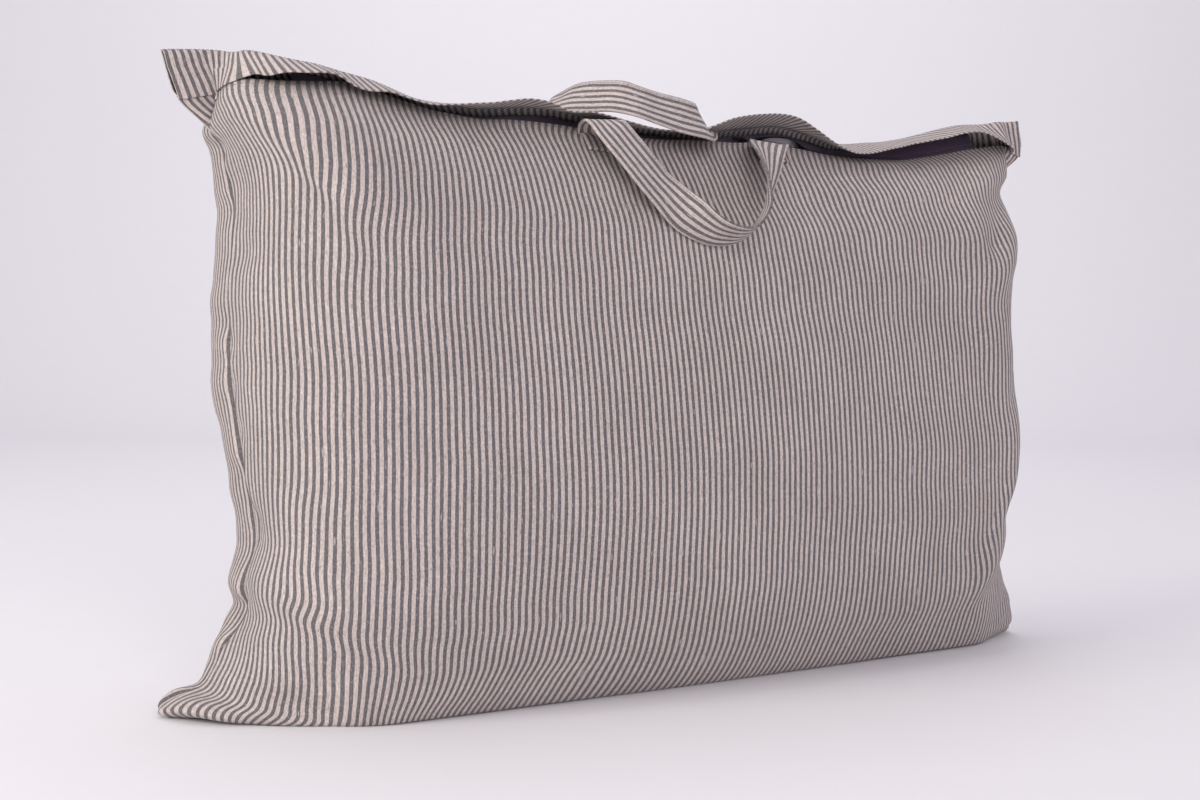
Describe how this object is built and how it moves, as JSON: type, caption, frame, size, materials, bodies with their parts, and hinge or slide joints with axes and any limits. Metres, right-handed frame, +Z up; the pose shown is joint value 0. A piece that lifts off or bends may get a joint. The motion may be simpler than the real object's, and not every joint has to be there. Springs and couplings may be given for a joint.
{
  "type": "fabric storage bag",
  "caption": "Soft striped linen storage bag, standing on its long edge, with a zip under a top flap, two strap handles and a light filling that shows at the open zip.",
  "frame": {"origin": "on the floor, under the middle of the whole", "axes": "+X along the bag, to the right as seen from the zip side; +Z up; the zip side faces -Y"},
  "size_m": [0.8462, 0.264, 0.5019],
  "materials": {
    "striped_linen": "woven ticking stripe in slate grey and warm light grey",
    "zip_tape": "woven tape, dark plum",
    "zip_metal": "black painted zinc",
    "wadding": "white wadding"
  },
  "bodies": {
    "root": {"front_panel": "striped_linen", "back_panel": "striped_linen", "zip_tape_front": "zip_tape", "zip_tape_back": "zip_tape", "zip_slider": "zip_metal", "zip_pull": "zip_metal", "handle_front": "striped_linen", "handle_back": "striped_linen", "filling": "wadding"}
  },
  "joints": []
}
